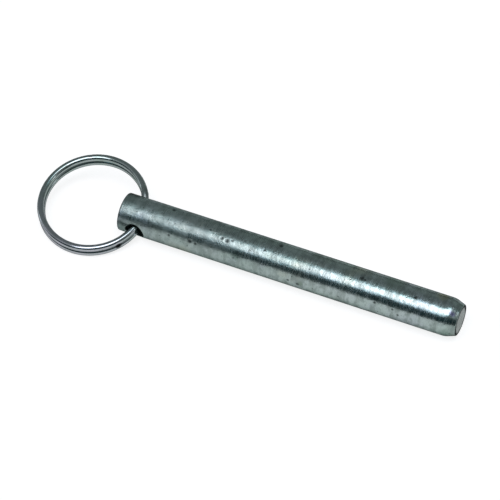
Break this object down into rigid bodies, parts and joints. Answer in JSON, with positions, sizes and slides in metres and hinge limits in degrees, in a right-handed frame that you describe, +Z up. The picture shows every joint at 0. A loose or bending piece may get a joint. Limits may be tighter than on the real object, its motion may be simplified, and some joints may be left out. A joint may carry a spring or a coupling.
{
  "type": "hitch pin lock",
  "caption": "Straight round steel hitch pin with a chamfered tip and a split ring through the cross hole at its other end.",
  "frame": {"origin": "on the pin's axis, at the middle of the plain shank between the cross hole and the tip's chamfer", "axes": "+X along the pin from the ring end to the tip, +Z up with the pin lying on its side, +Y away from the viewer"},
  "size_m": [0.1826, 0.0455, 0.0158],
  "materials": {
    "zinc_plated_steel": "zinc plated, worn satin with handling marks",
    "bright_wire": "bright nickel plated"
  },
  "bodies": {
    "pin": {"pin": "zinc_plated_steel"},
    "split_ring": {"split_ring": "bright_wire"}
  },
  "joints": [
    {"name": "ring_swing", "type": "hinge", "parent": "pin", "child": "split_ring", "pos_m": [-0.06918, 0, 0], "axis": [0, 0.9758, 0.2188], "range_deg": [-165, 165]}
  ]
}
